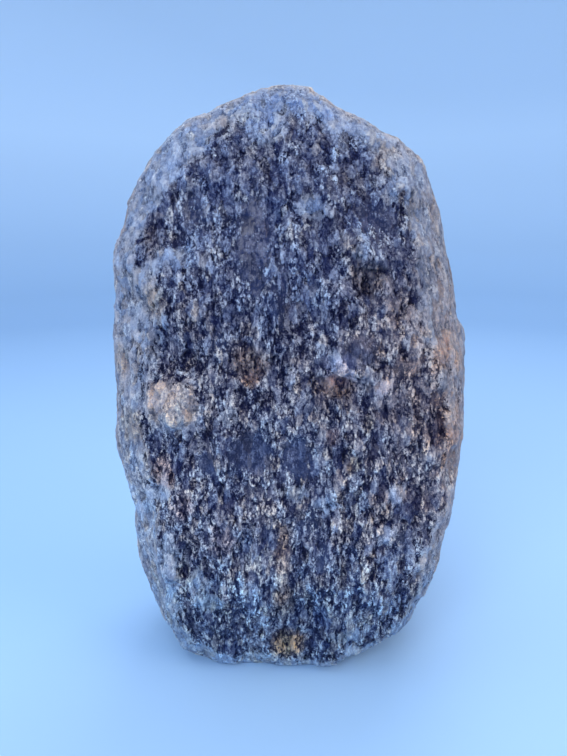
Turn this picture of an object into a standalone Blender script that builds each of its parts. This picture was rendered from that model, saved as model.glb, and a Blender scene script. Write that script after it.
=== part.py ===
# Rock salt: one weathered slab of natural halite, standing on a small flat spot.
#
# The frame: +Z is up, +X to the right and the broad pitted face looks along -Y.
# The origin is on the floor, under the middle of the stone's bounding box.
# Sizes are written in millimetres and turned into metres where the mesh is made.
#
# The stone is shaped in four steps, as a carver would: a blank with the right
# outline and thickness, broad flats broken off it, the weathering cut into its
# skin, and last the flat spot that it stands on.

import math

import bmesh
import bpy
import numpy as np
from mathutils import Vector, noise

MM = 0.001

# The stone's main sizes, in millimetres
CENTRE = (-1.0, 122.0)  # x and z that the outline is measured round

# The outline seen from the front, as x and z, clockwise from the top.
OUTLINE = [
    (0, 250), (8, 249), (15, 245), (22, 240), (30, 238), (38, 232), (47, 228),
    (56, 221), (62, 206), (67, 186), (71, 170), (73, 157), (82, 148), (78, 124),
    (73, 104), (74, 88), (76, 70), (72, 57), (66, 38), (59, 24), (53, 11), (44, 1),
    (27, -6), (-11, -11), (-37, -8), (-49, 0), (-60, 14), (-69, 32), (-70, 52),
    (-68, 74), (-74, 98), (-75, 116), (-74, 132), (-72, 160), (-73, 182),
    (-69, 198), (-62, 212), (-54, 225), (-45, 234), (-36, 238), (-33, 236),
    (-27, 241), (-12, 248),
]

# How far the front and the back stand from the outline's plane, from base to top.
LEVELS = [0, 40, 110, 180, 250]
FRONT_DEPTH = [37, 41, 42, 37, 27]
BACK_DEPTH = [38, 44, 46, 42, 32]
# The outline's plane leans back this far at each of those levels.
LEAN = [-2, -2, -1, 1, 4]

# How square the edge is, by direction round the outline: 2 is an ellipse, 6 a slab.
# Directions are in degrees, 0 to the right and 90 up.
EDGE_DIRECTIONS = [-180, -140, -90, -45, 0, 40, 90, 135, 180]
FRONT_SQUARENESS = [3.6, 3.6, 5.4, 4.8, 5.2, 3.4, 3.0, 2.9, 3.6]
BACK_SQUARENESS = [3.0, 3.4, 4.8, 3.6, 3.4, 3.0, 3.0, 3.4, 3.0]

# Broad flats: a point on each, the way it faces, and how much of the bulge it takes.
FLATS = [
    ((-62, -41, 110), (-0.79, -0.60, -0.16), 0.9),  # left bevel beside the pitted face
    ((-55, -31, 196), (-0.72, -0.56, 0.40), 0.7),  # upper left shoulder
    ((46, -36, 184), (0.80, -0.53, 0.22), 0.9),  # smooth upper right rim
    ((-3, -29, 229), (0.00, -0.66, 0.75), 0.7),  # under the top edge
    ((63, -37, 70), (0.86, -0.50, -0.08), 0.9),  # narrow lower right rim
    ((43, -35, 12), (0.45, -0.50, -0.74), 0.6),  # lower right corner, clear of the floor
    ((1, -37, 0), (0.34, -0.58, -0.74), 0.9),  # foot of the pitted face, on the right
    ((-7, 41, 182), (0.14, 0.94, 0.30), 0.8),  # upper back
    ((-47, 37, 112), (-0.55, 0.83, 0.05), 0.8),  # left half of the back
    ((47, 34, 96), (0.56, 0.82, -0.06), 0.8),  # right half of the back
    ((-1, 42, 32), (-0.08, 0.90, -0.42), 0.7),  # lower back
    ((-7, 15, -1), (-0.10, 0.36, -0.93), 0.9),  # underside, rising to the back
    ((18, -11, -1), (0.30, -0.06, -0.95), 0.9),  # underside, rising to the right
    ((-36, -11, -1), (-0.38, 0.05, -0.92), 0.9),  # underside, rising to the left
]

# Places on the pitted face that stand proud or lie sunk: x and z of the middle,
# half width and half height, how far out (or in, below 0), and how wide the slope.
FACE_MARKS = [
    (-46, 128, 10, 10, 3.2, 0.45),  # the raised warm lump on the left
    (24, 145, 9, 8, 2.2, 0.25),  # the glassy plate, broken along its lower left
    (17, 136, 6, 5, -3.0, 0.50),  # the hollow below the broken plate
    (-16, 106, 7, 9, -2.6, 0.35),  # sunk glassy crystal
    (2, 106, 7, 9, -2.2, 0.35),  # its neighbour
    (-34, 103, 5, 6, -2.0, 0.50),
    (-15, 187, 8, 20, -1.6, 0.40),  # long smooth trough, upper left of the middle
    (31, 194, 8, 8, -1.8, 0.40),  # smooth patch, upper right
    (-16, 143, 8, 7, -2.6, 0.50),  # brown hollow near the middle
    (29, 174, 7, 6, -2.6, 0.50),  # brown hollow, upper right
    (3, 203, 3, 7, -2.6, 0.60),  # narrow pit near the top
    (42, 91, 4, 5, 1.8, 0.40),  # standing crystals on the right
    (39, 72, 4, 4, 1.5, 0.40),
    (-51, 64, 6, 16, 1.6, 0.60),  # the long shoulder along the left bevel
    (-1, 18, 8, 9, -1.6, 0.50),  # rusty hollow above the base
    (24, 22, 9, 6, 1.6, 0.60),  # pale ledge above the base
]

BALL_SEGMENTS = 240  # the sphere that the blank is swelled from, round its poles
BALL_RINGS = 100
SKIN_CELL = 2.0  # side of the even faces that the weathering is cut into
MOST_TRIANGLES = 9300
FLOOR_BLOCK = (300, 200, 100)  # the block that cuts the flat spot, wider than the stone


def clear_scene():
    for obj in list(bpy.data.objects):
        bpy.data.objects.remove(obj, do_unlink=True)


def collection(name):
    made = bpy.data.collections.new(name)
    bpy.context.scene.collection.children.link(made)
    return made


# The blank

def reach_of(direction):
    """Distance in mm from CENTRE to the outline, for each direction in radians."""
    offsets = np.array(OUTLINE, float) - CENTRE
    angles = np.arctan2(offsets[:, 1], offsets[:, 0])
    reaches = np.hypot(offsets[:, 0], offsets[:, 1])
    order = np.argsort(angles)
    return np.interp(direction, angles[order], reaches[order], period=2 * math.pi)


def squareness_of(direction, table):
    return np.interp(np.degrees(direction), EDGE_DIRECTIONS, table)


def stone_blank():
    """A sphere with its poles front and back, swelled into the outline and thickness."""
    bm = bmesh.new()
    bmesh.ops.create_uvsphere(bm, u_segments=BALL_SEGMENTS, v_segments=BALL_RINGS, radius=1.0)
    ball = np.array([v.co for v in bm.verts])
    toward_front = ball[:, 2]
    direction = np.arctan2(ball[:, 1], ball[:, 0])
    away = np.hypot(ball[:, 0], ball[:, 1])

    is_front = toward_front > 0
    square = np.where(
        is_front,
        squareness_of(direction, FRONT_SQUARENESS),
        squareness_of(direction, BACK_SQUARENESS),
    )
    reach = reach_of(direction) * away ** (2 / square)
    x = CENTRE[0] + reach * np.cos(direction)
    z = CENTRE[1] + reach * np.sin(direction)
    depth = np.where(
        is_front,
        np.interp(z, LEVELS, FRONT_DEPTH),
        np.interp(z, LEVELS, BACK_DEPTH),
    )
    y = np.interp(z, LEVELS, LEAN)
    y -= np.sign(toward_front) * depth * np.abs(toward_front) ** (2 / square)

    places = np.column_stack((x, y, z))
    for point, facing, share in FLATS:
        facing = np.array(facing) / np.linalg.norm(facing)
        beyond = np.maximum((places - point) @ facing, 0)
        places -= np.outer(beyond * share, facing)
    for vert, place in zip(bm.verts, places * MM):
        vert.co = place
    bmesh.ops.recalc_face_normals(bm, faces=bm.faces)
    mesh = bpy.data.meshes.new("stone_blank")
    bm.to_mesh(mesh)
    bm.free()
    return bpy.data.objects.new("stone_blank", mesh)


def even_skin(blank, into):
    """The blank with even square faces, which take the weathering the same all over."""
    into.objects.link(blank)
    remesh = blank.modifiers.new("even_skin", "REMESH")
    remesh.mode = "VOXEL"
    remesh.voxel_size = SKIN_CELL * MM
    soften = blank.modifiers.new("soften", "SMOOTH")
    soften.factor = 0.5
    soften.iterations = 3
    bpy.context.view_layer.update()
    graph = bpy.context.evaluated_depsgraph_get()
    mesh = bpy.data.meshes.new_from_object(blank.evaluated_get(graph))
    bpy.data.objects.remove(blank, do_unlink=True)
    return mesh


# The weathering

def swell(place, size, seed):
    """Soft rise and fall from -1 to 1 over lumps of the size given in mm."""
    x, y, z = place
    return noise.noise((x / size[0] + seed, y / size[1], z / size[2]))


def crystal(place, size, seed):
    """Height, about -1 to 1, of the flat-faced crystal that covers a place.

    Salt breaks and dissolves grain by grain. Each grain keeps one flat face with
    its own level and lean, and the height drops into a groove where two grains meet.
    """
    x, y, z = place
    spot = Vector((x / size[0] + seed, y / size[1], z / size[2]))
    distances, centres = noise.voronoi(spot)
    level = noise.cell(centres[0] * 9.7) - 0.5
    lean = noise.cell_vector(centres[0] * 7.1) - Vector((0.5, 0.5, 0.5))
    height = 1.6 * level + 1.5 * lean.dot(spot - centres[0])
    inside = min((distances[1] - distances[0]) / 0.3, 1.0)
    return height * inside - 0.35 * (1 - inside)


def on_mark(place, mark):
    """1 on the flat of a face mark, falling to 0 down its slope."""
    x, y, z = place
    mid_x, mid_z, half_wide, half_high, _, slope = mark
    ragged = 0.35 * noise.noise((x / 6, z / 6, mid_x))
    off = math.hypot((x - mid_x) / half_wide, (z - mid_z) / half_high) + ragged
    return min(max((1 + slope / 2 - off) / slope, 0.0), 1.0)


def weathering(place, normal):
    """How far, in mm, the weather has moved the skin out or in at this place."""
    x, y, z = place
    front = min(max(-normal.y * 2.0 - 0.6, 0.0), 1.0)
    smooth_rim = min(max((z - 205) / 25, (x - 48) / 8 if z > 150 else 0.0, 0.0), 1.0)
    bite = (0.55 + 0.55 * front) * (1 - 0.6 * smooth_rim)

    move = 1.4 * swell(place, (46, 40, 60), 2.0)
    move += 0.9 * swell(place, (19, 19, 26), 7.0)
    # Runnels where brine has run down the pitted face.
    move -= 1.5 * front * bite * max(swell(place, (7, 30, 60), 11.0), -0.1)
    move += 1.5 * bite * crystal(place, (13, 13, 19), 3.0)
    # The marks replace the weathering round them.
    for mark in FACE_MARKS:
        share = front * on_mark(place, mark)
        move += share * (mark[4] - 0.6 * move)
    return move


def weather(mesh):
    for vert, normal in [(v, v.normal.copy()) for v in mesh.vertices]:
        vert.co += normal * weathering(vert.co / MM, normal) * MM


# The flat spot

def floor_cut(into):
    """A block under the floor's height, which takes off the foot of the stone."""
    bm = bmesh.new()
    bmesh.ops.create_cube(bm, size=1.0)
    bmesh.ops.scale(bm, vec=Vector(FLOOR_BLOCK) * MM, verts=bm.verts)
    bmesh.ops.translate(bm, vec=(0, 0, -FLOOR_BLOCK[2] / 2 * MM), verts=bm.verts)
    mesh = bpy.data.meshes.new("floor_cut")
    bm.to_mesh(mesh)
    bm.free()
    cut = bpy.data.objects.new("floor_cut", mesh)
    cut.hide_render = True
    cut.display_type = "WIRE"
    into.objects.link(cut)
    return cut


def rock_salt_material():
    """Grey halite: a cloudy, glassy salt that looks slate blue where it is clear."""
    salt = bpy.data.materials.new("grey_halite")
    salt.use_nodes = True
    shader = salt.node_tree.nodes["Principled BSDF"]
    shader.inputs["Base Color"].default_value = (0.12, 0.15, 0.24, 1)
    shader.inputs["Roughness"].default_value = 0.55
    shader.inputs["Metallic"].default_value = 0.0
    shader.inputs["IOR"].default_value = 1.544
    return salt


def set_on_origin(obj):
    """Moves the mesh sideways so that its bounding box is centred over the origin."""
    bpy.context.view_layer.update()
    graph = bpy.context.evaluated_depsgraph_get()
    corners = np.array(obj.evaluated_get(graph).bound_box)
    middle = (corners.min(axis=0) + corners.max(axis=0)) / 2
    for vert in obj.data.vertices:
        vert.co.x -= middle[0]
        vert.co.y -= middle[1]


def main():
    clear_scene()
    stone = collection("rock_salt")
    cutters = collection("cutters")
    skin = even_skin(stone_blank(), stone)
    weather(skin)
    obj = bpy.data.objects.new("rock_salt", skin)
    obj.data.materials.append(rock_salt_material())
    stone.objects.link(obj)

    settle = obj.modifiers.new("settle", "SMOOTH")
    settle.factor = 0.4
    settle.iterations = 1
    thin = obj.modifiers.new("thin_out", "DECIMATE")
    thin.ratio = MOST_TRIANGLES / sum(len(p.vertices) - 2 for p in skin.polygons)
    foot = obj.modifiers.new("flat_spot", "BOOLEAN")
    foot.operation = "DIFFERENCE"
    foot.solver = "EXACT"
    foot.object = floor_cut(cutters)
    set_on_origin(obj)


main()
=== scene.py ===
# %% [markdown]
# # A weathered lump of rock salt
# Rock salt is the mineral halite. This lump is coarse grey salt that water has
# eaten into, so its front is a skin of small frosted crystals with dark clear
# salt showing between them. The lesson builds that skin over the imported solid,
# from the large shapes down to the grain, and then lights it.

import math

import bmesh
import bpy
import numpy as np
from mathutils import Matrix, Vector, noise


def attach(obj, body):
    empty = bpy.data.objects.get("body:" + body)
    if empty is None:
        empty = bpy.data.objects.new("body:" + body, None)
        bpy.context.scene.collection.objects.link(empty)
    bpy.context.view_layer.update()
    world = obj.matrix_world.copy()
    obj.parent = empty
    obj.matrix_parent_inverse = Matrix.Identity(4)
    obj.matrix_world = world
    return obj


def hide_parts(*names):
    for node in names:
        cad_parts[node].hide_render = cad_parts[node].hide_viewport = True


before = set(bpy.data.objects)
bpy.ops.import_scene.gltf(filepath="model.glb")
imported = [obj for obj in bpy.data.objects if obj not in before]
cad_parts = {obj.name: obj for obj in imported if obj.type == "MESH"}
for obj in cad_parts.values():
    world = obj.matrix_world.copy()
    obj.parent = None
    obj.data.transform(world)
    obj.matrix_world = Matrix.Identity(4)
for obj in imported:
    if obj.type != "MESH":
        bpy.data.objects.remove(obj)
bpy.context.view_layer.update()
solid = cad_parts["rock_salt"]
MM = 0.001
print("solid measures", [round(side / MM, 1) for side in solid.dimensions], "mm")

# %% [markdown]
# ## Two small helpers
# Colours are written as screen hex values and the renderer works in linear light,
# so one function converts them. The other adds a node with its settings and its
# links, and it serves both the geometry and the material, which share a network.

# %% Colours and nodes
def linear(hex_colour):
    """Screen colour such as 8899aa to linear red, green, blue and alpha."""
    parts = [int(hex_colour[i:i + 2], 16) / 255 for i in (0, 2, 4)]
    return [c / 12.92 if c <= 0.04045 else ((c + 0.055) / 1.055) ** 2.4 for c in parts] + [1.0]


def add(tree, kind, inputs=None, stops=(), **settings):
    """Adds one node and gives its outputs. Inputs are numbers or sockets to link,
    stops are the positions and hex colours of a ramp, settings are its properties."""
    node = tree.nodes.new(kind)
    for name, value in settings.items():
        setattr(node, name, value)
    for name, value in (inputs or {}).items():
        if isinstance(value, bpy.types.NodeSocket):
            tree.links.new(value, node.inputs[name])
        else:
            node.inputs[name].default_value = value
    elements = node.color_ramp.elements if stops else ()
    while len(elements) < len(stops):
        elements.new(0.5)
    for element, (position, hex_colour) in zip(elements, stops):
        element.position = position
        element.color = linear(hex_colour)
    return node.outputs


# %% [markdown]
# ## An even skin
# The solid has facets about 5 mm wide. Remeshing it to even squares and softening
# them leaves the lump's own form without its facets. Sculpting could do the same,
# but a modifier does it alike on every side.

# %% Remesh the solid
SKIN_CELL = 1.72
mesh = solid.data.copy()
bm = bmesh.new()
bm.from_mesh(mesh)
bmesh.ops.remove_doubles(bm, verts=bm.verts, dist=0.01 * MM)
bm.to_mesh(mesh)
bm.free()
blank = bpy.data.objects.new("blank", mesh)
bpy.context.scene.collection.objects.link(blank)
remesh = blank.modifiers.new("even_skin", "REMESH")
remesh.mode = "VOXEL"
remesh.voxel_size = SKIN_CELL * MM
soften = blank.modifiers.new("soften", "SMOOTH")
soften.factor = 0.5
soften.iterations = 5
bpy.context.view_layer.update()
skin = bpy.data.meshes.new_from_object(
    blank.evaluated_get(bpy.context.evaluated_depsgraph_get())
)
bpy.data.objects.remove(blank, do_unlink=True)
print("even skin has", len(skin.polygons), "faces of", SKIN_CELL, "mm")

# %% [markdown]
# ## A finer front
# The pitted front gets squares half as wide, because its grains are the ones looked
# at most. The back and the sides stay as they are, which saves many triangles.

# %% Refine the pitted front
FRONT_TILT = -0.45  # a face belongs to the front when its normal's y is below this
bm = bmesh.new()
bm.from_mesh(skin)
front_faces = [face for face in bm.faces if face.normal.y < FRONT_TILT]
front_edges = list({edge for face in front_faces for edge in face.edges})
bmesh.ops.subdivide_edges(bm, edges=front_edges, cuts=1, use_grid_fill=True)
bm.to_mesh(skin)
bm.free()
print("skin has", sum(len(p.vertices) - 2 for p in skin.polygons), "triangles")

# %% [markdown]
# ## Where the edges are
# The rim of this lump looks paler than the broad faces. Partly its salt is bruised and
# frosted right through, and partly the paleness is painted light: edges that face up
# and outward catch more light, and thin edges let it through. How far a place is from
# facing straight forward or back says how much it belongs to the rim. The normals are
# smoothed widely first, so that single pits don't count.

# %% Measure the broad direction of the skin
BROAD_PASSES = 150  # each pass mixes a normal with those of its neighbours
count = len(skin.vertices)
places = np.zeros(count * 3)
skin.vertices.foreach_get("co", places)
places = places.reshape(-1, 3) / MM
normals = np.zeros(count * 3)
skin.vertices.foreach_get("normal", normals)
ends = np.zeros(len(skin.edges) * 2, int)
skin.edges.foreach_get("vertices", ends)
ends = ends.reshape(-1, 2)
broad = normals.reshape(-1, 3)
for _ in range(BROAD_PASSES):
    total = broad.copy()
    np.add.at(total, ends[:, 0], broad[ends[:, 1]])
    np.add.at(total, ends[:, 1], broad[ends[:, 0]])
    broad = total / np.linalg.norm(total, axis=1, keepdims=True)
print("measured", count, "points, up to", round(float(places[:, 2].max()), 1), "mm high")


# %% Tell the rim and the front apart
def smooth_step(low, high, values):
    """0 below low and 1 above high, with a soft start and end between them."""
    share = np.clip((values - low) / (high - low), 0, 1)
    return share * share * (3 - 2 * share)


rim = 1 - smooth_step(0.70, 1.0, np.abs(broad[:, 1]))
rim += 0.2 * smooth_step(0.15, 0.45, -broad[:, 0])  # the left bevel is paler still, partly painted light from the left
front = smooth_step(0.3, 0.7, -broad[:, 1])
elsewhere = 1 - front
print("rim covers", round(float(rim.mean()), 2), "of the skin")


# %% [markdown]
# ## Ragged borders
# Nothing on weathered salt ends in a clean line, so smooth noise pushes every border
# in and out: lumps of 7 and 3 mm for the patches, and of 17 and 8 mm for the border
# of the pale rim. The top is pale all over, partly bruised salt and partly painted light
# on its upward faces, so its border is torn less.

# %% Noise over the skin
def wander(scale, seed):
    """Smooth noise from about -1 to 1 over the skin, in lumps of scale mm."""
    step = Vector((seed, seed, seed))
    return np.array([noise.noise(Vector(p) / scale + step) for p in places])


SHOULDER, CROWN = 200, 240  # mm up, where the pale top begins and where it is whole
ragged = 0.55 * wander(7, 3.0) + 0.45 * wander(3, 5.0)
torn = 0.9 * wander(17, 51.0) + 0.5 * wander(8, 53.0) + 0.3 * ragged
torn *= 1 - 0.6 * smooth_step(SHOULDER, CROWN, places[:, 2])
rim = np.clip(rim + smooth_step(0, 0.25, rim) * (torn - 0.1), 0, 1)
print("torn rim covers", round(float(rim.mean()), 2), "of the skin")

# %% [markdown]
# ## Big clear crystals
# Some crystals are large and clear, and look smooth and dark like slate. They could
# be painted by hand, but a row of numbers is easier to move: the middle and the half
# sizes in millimetres, then the strength. One function makes a row into a patch on
# the front. Elsewhere, slow noise makes similar crystals wherever it peaks.

# %% Place the clear crystals
CLEAR = [  # x, z, half width, half height, strength
    (-17, 106, 8, 9, 1.0), (1, 106, 7, 9, 0.9), (-35, 103, 5, 5, 0.7), (-16, 187, 7, 22, 0.7),
    (30, 194, 7, 8, 0.7), (23, 147, 7.5, 7, 1.2), (39, 139, 5, 4, 0.6), (-38, 195, 6, 12, 0.55),
    (13, 209, 4, 4, 0.7), (43, 70, 3, 3.5, 0.7), (6, 78, 4, 8, 0.55), (-29, 150, 5, 5, 0.5),
    (12, 62, 3, 8, 0.55), (-6, 165, 4, 10, 0.5),
]


def patch(mid_x, mid_z, half_wide, half_high, strength=1.0):
    """The strength inside a patch on the front and 0 outside, with a ragged border."""
    across = (places[:, 0] - mid_x) / half_wide
    up = (places[:, 2] - mid_z) / half_high
    return strength * front * (1 - smooth_step(0.55, 1.35, np.hypot(across, up) + 0.5 * ragged))


clear = elsewhere * smooth_step(0.34, 0.46, wander(22, 11.0) + 0.25 * ragged)
for row in CLEAR:
    clear = np.maximum(clear, patch(*row))
print(len(CLEAR), "clear crystals on the front")

# %% [markdown]
# ## Frost
# Where brine has dried, it leaves crusts of small white crystals. Their rows read
# like those of the clear crystals. A crust hides the clear salt under it, and
# bruised salt is full of cracks, so both take clearness away.

# %% Place the frosted crusts
FROST = [  # x, z, half width, half height, strength
    (-36, 39, 7, 6, 0.7), (-52, 60, 5, 16, 0.7), (-40, 48, 6, 10, 0.6), (22, 22, 9, 5, 0.6),
    (6, 201, 7, 6, 0.6), (33, 134, 3, 3, 1.0), (40, 91, 5, 4.5, 1.0), (37, 72, 5, 5, 0.9),
    (38, 208, 4, 6, 0.6), (24, 184, 4, 4, 0.7), (-48, 127, 12, 11, 1.0), (-1, 90, 8, 4, 0.6),
    (-26, 122, 5, 4, 0.6), (12, 86, 6, 4, 0.6), (-58, 148, 8, 9, 0.6), (58, 182, 13, 38, 0.7),
    (-56, 186, 8, 14, 0.4), (-3, 17, 6, 7, 0.5), (8, 243, 45, 8, 0.6), (66, 118, 8, 24, 0.45),
    (15, 145, 2.5, 4, 1.3), (17, 141, 3.5, 3, 1.3), (21, 139, 3, 2.5, 1.3),
]
frost = elsewhere * smooth_step(0.25, 0.5, wander(18, 17.0) + 0.25 * ragged)
for row in FROST:
    frost = np.maximum(frost, patch(*row))
clear *= (1 - 0.8 * rim) * (1 - 0.9 * np.clip(frost, 0, 1))
print("clear crystals cover", round(float(clear.mean()), 3), "frost", round(float(frost.mean()), 3))

# %% [markdown]
# ## Lumps and hollows
# A few patches stand out from the face, such as the peach lump on the left and the
# small plate right of the middle, and others are hollows. They are too shallow to
# be in the solid, so they are rows here too.

# %% Raise and sink some spots
RAISED = [  # x, z, half width, half height, how far it stands out in mm
    (-48, 128, 10, 9, 0.9), (20, 145, 8, 7, 0.8), (15, 134, 6, 4, -1.2), (-17, 141, 7, 7, -0.4),
    (28, 176, 6, 5, -1.0), (-3, 17, 7, 7, 0.6), (-17, 106, 7, 8, -0.5), (1, 106, 7, 8, -0.5),
]
raised = np.zeros(count)
for *where, height in RAISED:
    raised += height * smooth_step(0.15, 0.9, patch(*where))
print("spots lie from", round(float(raised.min()), 1), "to", round(float(raised.max()), 1), "mm")

# %% [markdown]
# ## Stains
# Iron and clay have stained the salt brown, ochre and peach. A stain is see-through,
# so it multiplies the salt's colour: its tint is a number each for red, green and
# blue, and 1 changes nothing. The large weak rows are the slow change of colour from
# the foot to the top, and a warmer right side, whose broad peach is partly stain and
# partly painted warm light from the right. Elsewhere, noise spreads three of the tints,
# and fine noise leans the whole skin a little to warm or cool.

# %% Place the stains
TINTS = {
    "brown": (0.98, 0.72, 0.54),
    "umber": (0.70, 0.50, 0.40),
    "rust": (1.05, 0.70, 0.58),
    "ochre": (1.30, 1.00, 0.62),
    "amber": (1.40, 0.82, 0.44),
    "peach": (1.25, 1.00, 0.76),
    "cream": (1.85, 1.36, 0.95),
    "lavender": (1.70, 1.50, 1.45),
    "cool": (1.00, 1.33, 1.45),
    "pale": (1.41, 1.47, 1.43),
    "slate": (0.74, 0.90, 1.10),
}
STAINS = [  # x, z, half width, half height, tint, strength
    (-17, 143, 8, 7, "umber", 1.3), (28, 175, 8, 7, "umber", 1.15), (21, 183, 4, 8, "brown", 0.8),
    (16, 134, 7, 4, "umber", 1.1), (57, 145, 6, 5, "brown", 0.9), (42, 141, 5, 4, "brown", 0.8),
    (-17, 136, 3.5, 3, "amber", 1.0), (-56, 189, 5, 8, "umber", 0.7), (-54, 167, 6, 7, "peach", 1.4),
    (-48, 128, 10, 9, "cream", 1.0), (-27, 231, 5, 5, "peach", 0.7), (-66, 116, 6, 7, "peach", 1.2),
    (-71, 142, 5, 7, "peach", 1.2), (-53, 98, 5, 6, "rust", 0.8), (-45, 85, 5, 6, "rust", 0.8),
    (68, 147, 6, 9, "peach", 1.1), (67, 98, 4, 8, "peach", 0.8), (23, 103, 3, 4, "ochre", 0.9),
    (28, 120, 2.5, 4, "ochre", 0.8), (15, 114, 3, 4, "rust", 0.8), (-3, 17, 7, 8, "amber", 1.2),
    (-5, 40, 5, 9, "umber", 1.0), (-5, 62, 3.5, 16, "brown", 0.8), (18, 212, 4, 5, "peach", 0.7),
    (35, 220, 6, 5, "peach", 0.6), (34, 84, 4, 8, "brown", 0.8), (60, 112, 6, 8, "brown", 0.7),
    (40, 162, 6, 5, "brown", 0.6), (-30, 70, 6, 8, "rust", 0.6), (10, 124, 6, 8, "brown", 0.5),
    # the broad peach row at x 64 is partly stain and partly painted warm light from the right
    (64, 165, 30, 80, "peach", 0.5), (40, 130, 30, 40, "brown", 0.35), (0, 10, 90, 45, "cool", 1.0),
    (0, 80, 90, 45, "pale", 1.0), (33, 134, 3, 3, "lavender", 0.8), (-5, 200, 65, 45, "slate", 1.0),
    # the broad peach row at x 72 is partly stain and partly painted warm light from the right
    (72, 160, 16, 80, "peach", 0.4), (0, 246, 70, 14, "slate", 0.9), (66, 80, 16, 45, "brown", 0.4),
    (17, 141, 6, 6, "lavender", 1.6), (40, 91, 5, 4.5, "lavender", 0.5), (37, 72, 5, 5, "lavender", 0.4),
]
tint = np.ones((count, 3))
for *where, finish, strength in STAINS:
    tint *= 1 + strength * patch(*where)[:, None] * (np.array(TINTS[finish]) - 1)
for finish, seed in (("brown", 23.0), ("peach", 29.0), ("rust", 37.0)):
    share = elsewhere * smooth_step(0.22, 0.5, wander(26, seed) + 0.3 * ragged)
    tint *= 1 + 0.8 * share[:, None] * (np.array(TINTS[finish]) - 1)
WARMER_ELSEWHERE = np.array((0.10, 0.03, -0.05))
tint *= 1 + elsewhere[:, None] * WARMER_ELSEWHERE
WARM_OR_COOL = np.array((0.16, 0.0, -0.14))
lean = 0.6 * wander(3, 41.0) + 0.6 * wander(11, 43.0)
tint *= 1 + lean[:, None] * WARM_OR_COOL
print(len(STAINS), "stains, tints up to", round(float(tint.max()), 2))

# %% [markdown]
# ## Keeping the measurements on the mesh
# The values are stored on the mesh's points. The place is stored too, in
# millimetres and before any displacement, so the geometry and the material
# can lay the same crystals over the same spot. Water has etched the lower middle of
# the front most. Toward the outside more grains are worn smooth, and near the foot
# narrow grooves run down. The floor keeps the small flat spot under the foot flat.

# %% Store the attributes
def store(name, values, kind="FLOAT"):
    """Keeps one value or vector for each point of the skin."""
    attribute = skin.attributes.new(name, kind, "POINT")
    key = "vector" if kind == "FLOAT_VECTOR" else "value"
    attribute.data.foreach_set(key, np.ascontiguousarray(values, np.float32).ravel())


TALL = 250  # mm, from the foot to the top
ETCHED = (-15, 95)  # x and z of the spot where the front is etched most
ETCHED_REACH = (75, 105)  # mm from there, across and upward, to where grains are worn smooth
GROOVES = (20, 130)  # mm up, where the grooves begin to fade and where they end
drawn = places.copy()
drawn[:, 2] *= 0.87 + 0.13 * places[:, 2] / TALL  # grains are drawn out most at the foot
store("place", drawn, "FLOAT_VECTOR")
store("tint", tint, "FLOAT_VECTOR")
store("rim", rim)
store("clear", clear)
store("frost", frost)
store("raised", raised)
from_etched = np.hypot(
    (places[:, 0] - ETCHED[0]) / ETCHED_REACH[0], (places[:, 2] - ETCHED[1]) / ETCHED_REACH[1]
)
store("worn", 0.15 + 0.45 * smooth_step(0.5, 1.2, from_etched + 0.15 * wander(30, 47.0)))
store("grooved", front * (1 - smooth_step(GROOVES[0], GROOVES[1], places[:, 2])))
on_floor = 1 - smooth_step(0.3, 5, places[:, 2])
store("bite", (0.55 + 0.45 * front) * (1 - 0.2 * rim) * (1 - on_floor))
print("stored", [name for name in skin.attributes.keys() if not name.startswith(".")])

# %% [markdown]
# ## Crystals
# Salt breaks and dissolves grain by grain, and each grain keeps one flat face that
# leans its own way. A Voronoi cell is one grain: white noise sets its level, and its
# random colour sets the lean. Five layers, from 12 mm down to 0.7 mm wide, are
# about twice as tall as wide, because brine ran down the face. The finest is a
# little coarser than fine salt, so that it still shows.

# %% One layer of crystals, for the geometry and the material
LAYERS = [  # grain width and height in mm, share of the tone, depth in mm, how domed
    (12.0, 24.0, 0.16, 0.45, 0.8),
    (6.0, 12.0, 0.24, 0.50, 1.0),
    (3.0, 6.2, 0.52, 0.50, 0.6),
    (1.4, 2.8, 0.72, 0.32, 0.6),
    (0.7, 1.3, 0.92, 0.12, 0.0),
]
TONE, DEPTH = 2, 3  # columns of LAYERS
PLATES = 2  # the row of LAYERS whose 3 mm grains each have a shine and hue of their own


def crystal_layer(tree, place, number):
    """Height from about -1 to 1 of one layer of grains, and each grain's random colour."""
    width, height, _, _, domed = LAYERS[number]
    seed = 3.7 * number + 5
    spot = add(tree, "ShaderNodeVectorMath", {
        0: place, 1: (1 / width, 1 / width, 1 / height), 2: (seed, seed, seed),
    }, operation="MULTIPLY_ADD")[0]
    warp = add(tree, "ShaderNodeTexNoise", {
        "Vector": spot, "Scale": 1.6, "Detail": 3.0, "Roughness": 0.7,
    })["Color"]
    spot = add(tree, "ShaderNodeVectorMath", {
        0: warp, 1: (0.9, 0.9, 0.9), 2: spot,
    }, operation="MULTIPLY_ADD")[0]
    cell = add(tree, "ShaderNodeTexVoronoi", {"Vector": spot, "Scale": 1.0})
    slope = add(tree, "ShaderNodeVectorMath", {
        0: cell["Color"], 1: (0.5, 0.5, 0.5),
    }, operation="SUBTRACT")[0]
    from_middle = add(tree, "ShaderNodeVectorMath", {
        0: spot, 1: cell["Position"],
    }, operation="SUBTRACT")[0]
    lean = add(tree, "ShaderNodeVectorMath", {
        0: slope, 1: from_middle,
    }, operation="DOT_PRODUCT")["Value"]
    level = add(tree, "ShaderNodeTexWhiteNoise", {"Vector": cell["Position"]})["Value"]
    level = add(tree, "ShaderNodeMath", {
        0: level, 1: 2.0, 2: 0.22 * domed - 1,
    }, operation="MULTIPLY_ADD")[0]
    level = add(tree, "ShaderNodeMath", {0: lean, 1: 1.2, 2: level}, operation="MULTIPLY_ADD")[0]
    gap = add(tree, "ShaderNodeMath", {0: cell["Distance"], 1: 2.0}, operation="POWER")[0]
    level = add(tree, "ShaderNodeMath", {0: gap, 1: -domed, 2: level}, operation="MULTIPLY_ADD")[0]
    return level, cell["Color"]


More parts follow.
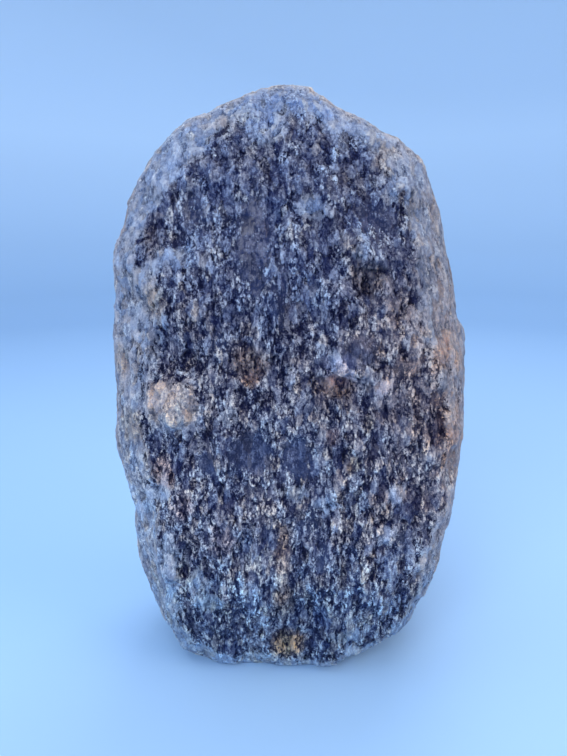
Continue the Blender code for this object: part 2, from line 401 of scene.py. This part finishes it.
def relief(tree, place, column, first, last):
    """The crystal layers from first up to last added, each times its value in a column."""
    total = 0.0
    for number in range(first, last):
        level, _ = crystal_layer(tree, place, number)
        total = add(tree, "ShaderNodeMath", {
            0: level, 1: LAYERS[number][column], 2: total,
        }, operation="MULTIPLY_ADD")[0]
    return total


print("grains from", LAYERS[0][0], "down to", LAYERS[-1][0], "mm wide")

# %% [markdown]
# ## Runnels and grooves
# Brine that runs down a face leaves shallow runnels, and near the foot narrow
# grooves. Both are noise that is stretched upward: its scale is a number of lumps
# per millimetre across, in depth and upward.

# %% Set up the geometry nodes
RUNNEL_SCALE = (0.3, 0.2, 0.045)
GROOVE_SCALE = (0.8, 0.4, 0.10)
skin_object = bpy.data.objects.new("salt_surface", skin)
bpy.context.scene.collection.objects.link(skin_object)
cut = bpy.data.node_groups.new("cut_crystals", "GeometryNodeTree")
cut.interface.new_socket("Geometry", in_out="INPUT", socket_type="NodeSocketGeometry")
cut.interface.new_socket("Geometry", in_out="OUTPUT", socket_type="NodeSocketGeometry")
source = add(cut, "NodeGroupInput")[0]
place = add(cut, "GeometryNodeInputNamedAttribute", {
    "Name": "place",
}, data_type="FLOAT_VECTOR")["Attribute"]
stored = {
    name: add(cut, "GeometryNodeInputNamedAttribute", {"Name": name}, data_type="FLOAT")["Attribute"]
    for name in ("clear", "bite", "raised", "rim", "grooved")
}


def streaks(scale):
    """Noise from 0 to 1 over the skin, stretched by its scale."""
    spot = add(cut, "ShaderNodeVectorMath", {0: place, 1: scale}, operation="MULTIPLY")[0]
    return add(cut, "ShaderNodeTexNoise", {"Vector": spot, "Scale": 1.0, "Detail": 2.0})["Fac"]


runnel = add(cut, "ShaderNodeMath", {
    0: streaks(RUNNEL_SCALE), 1: 1.8, 2: -0.9,
}, operation="MULTIPLY_ADD")[0]
groove = add(cut, "ShaderNodeMapRange", {
    0: streaks(GROOVE_SCALE), 1: 0.36, 2: 0.46, 3: -0.8, 4: 0.0,
})[0]
print("runnels are about", round(1 / RUNNEL_SCALE[2]), "mm long, grooves", round(1 / GROOVE_SCALE[2]))

# %% [markdown]
# ## Cutting the crystals into the skin
# The four coarser layers and the runnels move the skin in and out by up to a
# millimetre or so. Clear crystals keep their smooth faces, so they are moved less.

# %% Move the points
relief_depth = relief(cut, place, DEPTH, 0, len(LAYERS) - 1)
height = add(cut, "ShaderNodeMath", {0: runnel, 1: 0.5, 2: relief_depth}, operation="MULTIPLY_ADD")[0]
smoother = add(cut, "ShaderNodeMath", {
    0: stored["clear"], 1: -0.75, 2: 1.0,
}, operation="MULTIPLY_ADD")[0]
height = add(cut, "ShaderNodeMath", {0: height, 1: smoother}, operation="MULTIPLY")[0]
height = add(cut, "ShaderNodeMath", {
    0: height, 1: stored["bite"], 2: stored["raised"],
}, operation="MULTIPLY_ADD")[0]
metres = add(cut, "ShaderNodeMath", {0: height, 1: MM}, operation="MULTIPLY")[0]
offset = add(cut, "ShaderNodeVectorMath", {
    0: add(cut, "GeometryNodeInputNormal")[0], "Scale": metres,
}, operation="SCALE")[0]
moved = add(cut, "GeometryNodeSetPosition", {"Geometry": source, "Offset": offset})[0]
print("the displacement has", len(cut.nodes), "nodes")

# %% [markdown]
# ## Light and dark of the coarse crystals
# The two coarsest layers, the runnels and the grooves are also kept on the mesh as
# "large", because the material needs them and would be slow to work them out again.
# The bruised rim shows them less.

# %% Keep the coarse relief
# in the colour the low places of this relief come out darker, partly as painted shade in them
large = add(cut, "ShaderNodeMath", {
    0: runnel, 1: 0.75, 2: relief(cut, place, TONE, 0, PLATES),
}, operation="MULTIPLY_ADD")[0]
fainter = add(cut, "ShaderNodeMath", {
    0: stored["rim"], 1: -0.6, 2: 1.0,
}, operation="MULTIPLY_ADD")[0]
large = add(cut, "ShaderNodeMath", {0: large, 1: fainter}, operation="MULTIPLY")[0]
large = add(cut, "ShaderNodeMath", {
    0: groove, 1: stored["grooved"], 2: large,
}, operation="MULTIPLY_ADD")[0]
kept = add(cut, "GeometryNodeStoreNamedAttribute", {
    "Geometry": moved, "Name": "large", "Value": large,
}, data_type="FLOAT", domain="POINT")[0]
add(cut, "NodeGroupOutput", {0: kept})
print("the geometry nodes are", len(cut.nodes), "in all")

# %% [markdown]
# ## Fixing the shape
# The displaced skin becomes a plain mesh, which any other program can read too.
# Points that went below the floor are set on it.

# %% Bake the displaced skin
skin_object.modifiers.new("cut_crystals", "NODES").node_group = cut
bpy.context.view_layer.update()
cut_skin = bpy.data.meshes.new_from_object(
    skin_object.evaluated_get(bpy.context.evaluated_depsgraph_get())
)
skin_object.modifiers.clear()
skin_object.data = cut_skin
cut_skin.shade_smooth()
lowest = min(v.co.z for v in cut_skin.vertices)
for vert in cut_skin.vertices:
    vert.co.z = max(vert.co.z, 0.0)
print("lowest point before it is set on the floor", round(lowest / MM, 2), "mm")

# %% [markdown]
# ## Halite
# Halite bends light with an index of 1.544. Where its surface is whole it looks
# dark and glassy, because light goes in and is lost. Where it is etched, each
# small face scatters light, and it looks pale lavender grey. So the same relief
# that shapes the skin also colours it: pits dark, crests frosted. The dark of the pits
# is partly clear salt and partly painted shade, where the real pits lie in shadow.
# This first part sets up the material and reads what the mesh keeps.

# %% Start the material
salt = bpy.data.materials.new("grey_halite")
salt.use_nodes = True
tree = salt.node_tree
shader = tree.nodes["Principled BSDF"]
shader.inputs["IOR"].default_value = 1.544
place = add(tree, "ShaderNodeAttribute", attribute_name="place")["Vector"]
tint_here = add(tree, "ShaderNodeAttribute", attribute_name="tint")["Vector"]
here = {
    name: add(tree, "ShaderNodeAttribute", attribute_name=name)["Fac"]
    for name in ("rim", "clear", "frost", "large", "worn")
}
print("the material reads place, tint,", ", ".join(here))

# %% [markdown]
# ## The tone of each grain
# One number from 0 to 1 says how dark or frosted a spot is. Each 3 mm grain is
# etched by an amount of its own, so some stay smooth. Sugar is the glitter of
# crystals half a millimetre wide, which is as fine as the picture can show.

# %% Work out the tone
TONE_SPREAD, TONE_MIDDLE = 0.24, 0.454
SUGAR_SCALE = 1.8  # lumps per mm
plate, plate_colour = crystal_layer(tree, place, PLATES)
own = add(tree, "ShaderNodeSeparateXYZ", {0: plate_colour})
etched = add(tree, "ShaderNodeMath", {0: own[1], 1: here["worn"]}, operation="SUBTRACT")[0]
etched = add(tree, "ShaderNodeMapRange", {0: etched, 1: 0.0, 2: 0.25, 3: 0.55, 4: 1.15})[0]
sugar = add(tree, "ShaderNodeTexNoise", {
    "Vector": place, "Scale": SUGAR_SCALE, "Detail": 2.0, "Roughness": 0.8,
})["Fac"]
sugar = add(tree, "ShaderNodeMath", {0: sugar, 1: 4.0, 2: -2.0}, operation="MULTIPLY_ADD")[0]
fine = relief(tree, place, TONE, PLATES + 1, len(LAYERS))
fine = add(tree, "ShaderNodeMath", {0: fine, 1: sugar}, operation="ADD")[0]
fine = add(tree, "ShaderNodeMath", {0: fine, 1: etched}, operation="MULTIPLY")[0]
fine = add(tree, "ShaderNodeMath", {
    0: plate, 1: LAYERS[PLATES][TONE], 2: fine,
}, operation="MULTIPLY_ADD")[0]
grain = add(tree, "ShaderNodeMath", {0: fine, 1: here["large"]}, operation="ADD")[0]
# low places give a dark tone and crests a pale one: partly clear salt, partly painted shade in the pits
# and between the grains
tone = add(tree, "ShaderNodeMath", {
    0: grain, 1: TONE_SPREAD, 2: TONE_MIDDLE,
}, operation="MULTIPLY_ADD")[0]
print("the tone takes", len(tree.nodes), "nodes")


# %% [markdown]
# ## Three looks of one salt
# The tone picks a colour from one of three ramps: the open face, which goes from
# almost black pits to frosted crests, the dark being partly clear salt and partly painted
# shade in the pits, the pale salt of the rim and the crusts, partly bruised salt and partly
# painted light on the rim, and the slate of the big clear crystals. The grains push the
# border between two looks in and out, so it breaks up along them.

# %% Lay the three looks over each other
def broken(value, by, low, high):
    """A soft mask with its border broken up by the grains: they push it in or out."""
    pushed = add(tree, "ShaderNodeMath", {0: grain, 1: by, 2: value}, operation="MULTIPLY_ADD")[0]
    return add(tree, "ShaderNodeMapRange", {0: pushed, 1: low, 2: high})[0]


# its dark stops are the pits, partly clear salt and partly painted shade
open_face = add(tree, "ShaderNodeValToRGB", {"Fac": tone}, stops=[
    (0.0, "0b0e28"), (0.2, "1e2341"), (0.4, "434963"),
    (0.6, "797e91"), (0.8, "aaafbd"), (1.0, "d6dae1"),
])["Color"]
pale_salt = add(tree, "ShaderNodeValToRGB", {"Fac": tone}, stops=[
    (0.0, "4c566f"), (0.4, "7f899f"), (0.7, "a2acbe"), (1.0, "d0d8e2"),
])["Color"]
slate_salt = add(tree, "ShaderNodeValToRGB", {"Fac": tone}, stops=[
    (0.0, "20263e"), (0.35, "2b314a"), (0.6, "393f5a"), (0.8, "505773"), (1.0, "798196"),
])["Color"]
# the rim's paleness is partly bruised salt and partly painted light on edges facing up and out
bruise_and_painted_light = broken(here["rim"], 0.14, 0.12, 0.45)
crust = broken(here["frost"], 0.15, 0.3, 0.4)
crust = add(tree, "ShaderNodeMath", {0: crust, 1: here["frost"]}, operation="MULTIPLY")[0]
whitened = add(tree, "ShaderNodeMath", {0: bruise_and_painted_light, 1: crust}, operation="MAXIMUM")[0]
whole = broken(here["clear"], -0.18, 0.4, 0.52)
colour = add(tree, "ShaderNodeMix", {0: whitened, 6: open_face, 7: pale_salt}, data_type="RGBA")[2]
colour = add(tree, "ShaderNodeMix", {0: whole, 6: colour, 7: slate_salt}, data_type="RGBA")[2]
print("the three looks take", len(tree.nodes), "nodes")

# %% [markdown]
# ## Laying the stains over it
# The stains that are kept on the mesh multiply the colour. Each 3 mm grain also
# leans a little to warm or cool. The sugar holds some of the stain back, because
# the frostiest crystals stay white.

# %% Stain the salt
leaning = add(tree, "ShaderNodeValToRGB", {"Fac": own[2]}, stops=[
    (0.0, "ffead4"), (0.5, "f4f3f4"), (1.0, "e3effa"),
])["Color"]
stain = add(tree, "ShaderNodeMix", {
    0: 1.0, 6: tint_here, 7: leaning,
}, data_type="RGBA", blend_type="MULTIPLY")[2]
hold = add(tree, "ShaderNodeMapRange", {0: sugar, 1: -0.5, 2: 0.5, 3: 0.45, 4: 1.0})[0]
stain = add(tree, "ShaderNodeMix", {0: hold, 6: (1, 1, 1, 1), 7: stain}, data_type="RGBA")[2]
colour = add(tree, "ShaderNodeMix", {
    0: 1.0, 6: colour, 7: stain,
}, data_type="RGBA", blend_type="MULTIPLY")[2]
tree.links.new(colour, shader.inputs["Base Color"])
print("the colour takes", len(tree.nodes), "nodes")

# %% [markdown]
# ## Shine and glow
# Whole crystals are smoother than etched ones. Deep pits don't mirror the lamps, so
# the gloss follows the tone. In the bruised rim a little light travels a few
# millimetres under the surface, which makes it glow.

# %% Roughness, gloss and glow
rough = add(tree, "ShaderNodeMapRange", {0: tone, 1: 0.2, 2: 0.8, 3: 0.5, 4: 0.75})[0]
rough = add(tree, "ShaderNodeMath", {0: whole, 1: -0.25, 2: rough}, operation="MULTIPLY_ADD")[0]
tree.links.new(rough, shader.inputs["Roughness"])
gloss = add(tree, "ShaderNodeValToRGB", {"Fac": tone}, stops=[(0.25, "000000"), (0.65, "ffffff")])
tree.links.new(gloss["Color"], shader.inputs["Specular Tint"])
glow = add(tree, "ShaderNodeMath", {0: here["rim"], 1: 0.15}, operation="MULTIPLY")[0]
tree.links.new(glow, shader.inputs["Subsurface Weight"])
shader.inputs["Subsurface Radius"].default_value = (1.0, 0.9, 0.9)
shader.inputs["Subsurface Scale"].default_value = 3 * MM
print("light travels", round(shader.inputs["Subsurface Scale"].default_value / MM), "mm in the rim")

# %% [markdown]
# ## The finest relief
# Grains under about 3 mm are too fine for the mesh, so they only tilt the light as a
# bump. Whole crystals get little of it, which keeps their faces smooth.

# %% Bump, and hand the piece over
BUMP_DEPTH = 0.4 * MM
shallower = add(tree, "ShaderNodeMath", {0: whole, 1: -0.8, 2: 1.0}, operation="MULTIPLY_ADD")[0]
shallower = add(tree, "ShaderNodeMath", {0: fine, 1: shallower}, operation="MULTIPLY")[0]
bump = add(tree, "ShaderNodeBump", {"Height": shallower, "Strength": 0.8, "Distance": BUMP_DEPTH})
tree.links.new(bump["Normal"], shader.inputs["Normal"])
cut_skin.materials.clear()
cut_skin.materials.append(salt)
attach(skin_object, "root")
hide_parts("rock_salt")
print("grey_halite has", len(tree.nodes), "nodes")

# %% [markdown]
# ## The studio
# A pale round table curves up into its own backdrop, so it is behind the stone from
# every side, and the paper is paler where it stands up.

# %% Backdrop
RINGS = [  # radius and height in metres, from the middle of the table outward
    (0.0, 0.0), (0.65, 0.0), (1.1, 0.0), (1.37, 0.04), (1.59, 0.16), (1.75, 0.37),
    (1.82, 0.65), (1.82, 1.5),
]
bm = bmesh.new()
profile = [bm.verts.new((radius, 0, rise)) for radius, rise in RINGS]
for inner, outer in zip(profile, profile[1:]):
    bm.edges.new((inner, outer))
bmesh.ops.spin(
    bm, geom=bm.verts[:] + bm.edges[:], axis=(0, 0, 1), cent=(0, 0, 0),
    angle=2 * math.pi, steps=96,
)
bmesh.ops.remove_doubles(bm, verts=bm.verts, dist=0.1 * MM)
bmesh.ops.recalc_face_normals(bm, faces=bm.faces)
table = bpy.data.meshes.new("table")
bm.to_mesh(table)
bm.free()
table.shade_smooth()
backdrop = bpy.data.objects.new("backdrop", table)
bpy.context.scene.collection.objects.link(backdrop)
print("backdrop is", round(2 * RINGS[-1][0], 2), "m across")

# %% Paper
paper = bpy.data.materials.new("pale_table")
paper.use_nodes = True
paper_tree = paper.node_tree
paper_shader = paper_tree.nodes["Principled BSDF"]
position = add(paper_tree, "ShaderNodeNewGeometry")["Position"]
above_floor = add(paper_tree, "ShaderNodeSeparateXYZ", {0: position})[2]
shade = add(paper_tree, "ShaderNodeValToRGB", {"Fac": above_floor}, stops=[
    (0.0, "86add8"), (0.5, "b0d2f2"),
])["Color"]
paper_tree.links.new(shade, paper_shader.inputs["Base Color"])
paper_shader.inputs["Roughness"].default_value = 0.6
table.materials.append(paper)
print("paper from 86add8 on the floor to b0d2f2 half a metre up")

# %% [markdown]
# ## Soft light
# A broad soft light hangs above, one fills from the front, a warmer one from the
# right, and one from behind. They stand well away from the backdrop, because a lamp
# close to it throws a hard bright edge on it. The world adds an even cool light.

# %% Lamps
MIDDLE = Vector((0, 0, 0.12))  # the lamps look at the middle of the stone
LAMPS = [  # name, place in metres, size in metres, watts, colour
    ("overhead", (-0.25, -0.15, 1.3), 1.0, 10, "fbfcff"),
    ("front_fill", (-0.5, -1.1, 0.8), 0.8, 16, "fffdfa"),
    ("right_fill", (1.0, -0.4, 0.7), 0.8, 9, "ffdcb0"),
    ("back_fill", (0.3, 0.7, 1.3), 0.9, 8, "fbfcff"),
]
for name, stand, size, watts, hex_colour in LAMPS:
    light = bpy.data.lights.new(name, "AREA")
    light.size = size
    light.energy = watts
    light.color = linear(hex_colour)[:3]
    lamp = bpy.data.objects.new(name, light)
    lamp.location = stand
    lamp.rotation_euler = (MIDDLE - Vector(stand)).to_track_quat("-Z", "Y").to_euler()
    lamp.visible_camera = False
    bpy.context.scene.collection.objects.link(lamp)
world = bpy.data.worlds.new("room")
world.use_nodes = True
room = world.node_tree.nodes["Background"]
room.inputs["Color"].default_value = linear("eef2f8")
room.inputs["Strength"].default_value = 0.52
bpy.context.scene.world = world
bpy.context.scene.view_settings.view_transform = "Standard"
print(len(LAMPS), "lamps give", sum(row[3] for row in LAMPS), "W")

# %% [markdown]
# ## The camera
# The stone is seen from close by and a little above, a quarter of a metre in front
# of its middle, with a wide lens. So its upper part looks larger than its foot.

# %% Camera
LOOK_DOWN = 14  # degrees below the horizon
lens = bpy.data.cameras.new("camera")
lens.lens = 27
lens.sensor_width = 36
lens.clip_start = 0.01
camera = bpy.data.objects.new("camera", lens)
camera.location = (-0.0047, -0.25, 0.19)
camera.rotation_euler = (math.radians(90 - LOOK_DOWN), 0, 0)
bpy.context.scene.collection.objects.link(camera)
bpy.context.scene.camera = camera
print("camera looks down by", LOOK_DOWN, "degrees")
